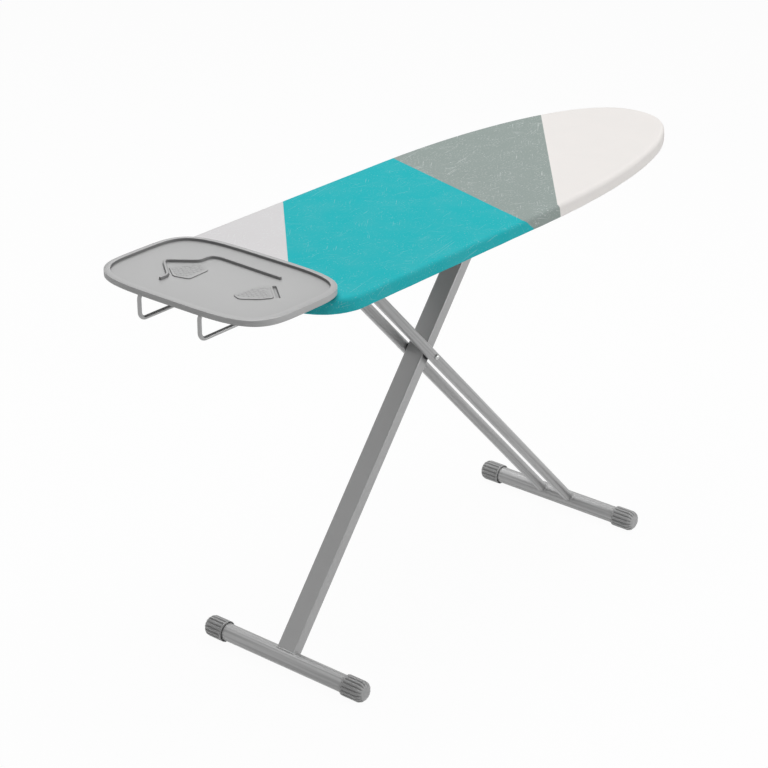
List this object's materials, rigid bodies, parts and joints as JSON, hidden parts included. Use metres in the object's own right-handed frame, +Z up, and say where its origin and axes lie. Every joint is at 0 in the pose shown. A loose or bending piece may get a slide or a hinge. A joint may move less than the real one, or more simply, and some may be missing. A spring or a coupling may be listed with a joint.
{
  "type": "ironing board",
  "caption": "Folding ironing board: padded board with a colour-block cover on a steel deck, a crossed-leg stand that folds flat, and a sliding wire-armed iron rest.",
  "frame": {"origin": "on the floor, under the middle of the overall length and width", "axes": "+X along the board towards its nose, +Y across it, +Z up; the iron rest is at -X"},
  "size_m": [1.368, 0.405, 0.824],
  "materials": {
    "cover_cotton": "matt printed cotton in teal, sage grey and white blocks",
    "felt": "matt felt",
    "deck_steel": "satin silver-grey powder coat",
    "leg_paint": "satin silver-grey powder coat",
    "tray_paint": "satin silver-grey powder coat",
    "wire_paint": "satin silver-grey powder coat",
    "zinc_steel": "bright zinc plate",
    "foot_plastic": "moulded grey plastic",
    "dark_plastic": "moulded dark grey plastic"
  },
  "bodies": {
    "board": {"cover": "cover_cotton", "pad": "felt", "deck_panel": "deck_steel", "rim": "deck_steel", "hinge_rib": "deck_steel", "nose_rib": "deck_steel", "hinge_bracket": "deck_steel", "hinge_pin": "zinc_steel", "hinge_nut": "zinc_steel", "rail_left": "deck_steel", "rail_right": "deck_steel", "rail_rivets": "zinc_steel", "rest_guide_left": "dark_plastic", "rest_guide_right": "dark_plastic", "lever_rivet": "zinc_steel"},
    "height_lever": {"release_lever": "zinc_steel", "lever_grip": "dark_plastic", "lever_spring": "zinc_steel"},
    "iron_rest": {"rest_tray": "tray_paint", "rest_wire_left": "wire_paint", "rest_wire_right": "wire_paint", "rest_clips": "dark_plastic", "rest_screws": "zinc_steel", "wire_stops": "dark_plastic"},
    "flat_leg": {"main_leg": "leg_paint", "leg_plug": "dark_plastic", "rear_foot_tube": "leg_paint", "rear_cap_left": "foot_plastic", "rear_cap_right": "foot_plastic", "pivot_bolt": "zinc_steel", "pivot_nut": "zinc_steel", "pivot_washers": "dark_plastic"},
    "round_legs": {"leg_tube_left": "leg_paint", "leg_tube_right": "leg_paint", "tube_plugs": "dark_plastic", "front_foot_tube": "leg_paint", "front_cap_left": "foot_plastic", "front_cap_right": "foot_plastic", "cross_pin": "zinc_steel", "pin_glides": "dark_plastic", "pin_clips": "zinc_steel"}
  },
  "joints": [
    {"name": "stand_fold", "type": "hinge", "parent": "board", "child": "flat_leg", "pos_m": [0.1592, 0, 0.752], "axis": [0, 1, 0], "range_deg": [0, 49.75]},
    {"name": "cross_fold", "type": "hinge", "parent": "flat_leg", "child": "round_legs", "pos_m": [-0.03131, 0, 0.50956], "axis": [0, 1, 0], "range_deg": [-93.9, 0]},
    {"name": "rest_slide", "type": "slide", "parent": "board", "child": "iron_rest", "axis": [1, 0, 0], "range_m": [0, 0.14]},
    {"name": "lever_lift", "type": "hinge", "parent": "board", "child": "height_lever", "pos_m": [-0.15, -0.0506, 0.7679], "axis": [0, 1, 0], "range_deg": [0, 2.5], "stiffness_Nm_per_rad": 1, "springref_deg": -17.19}
  ],
  "couplings": [
    {"joint": "cross_fold", "follows": "stand_fold", "ratio": -1.8872}
  ]
}
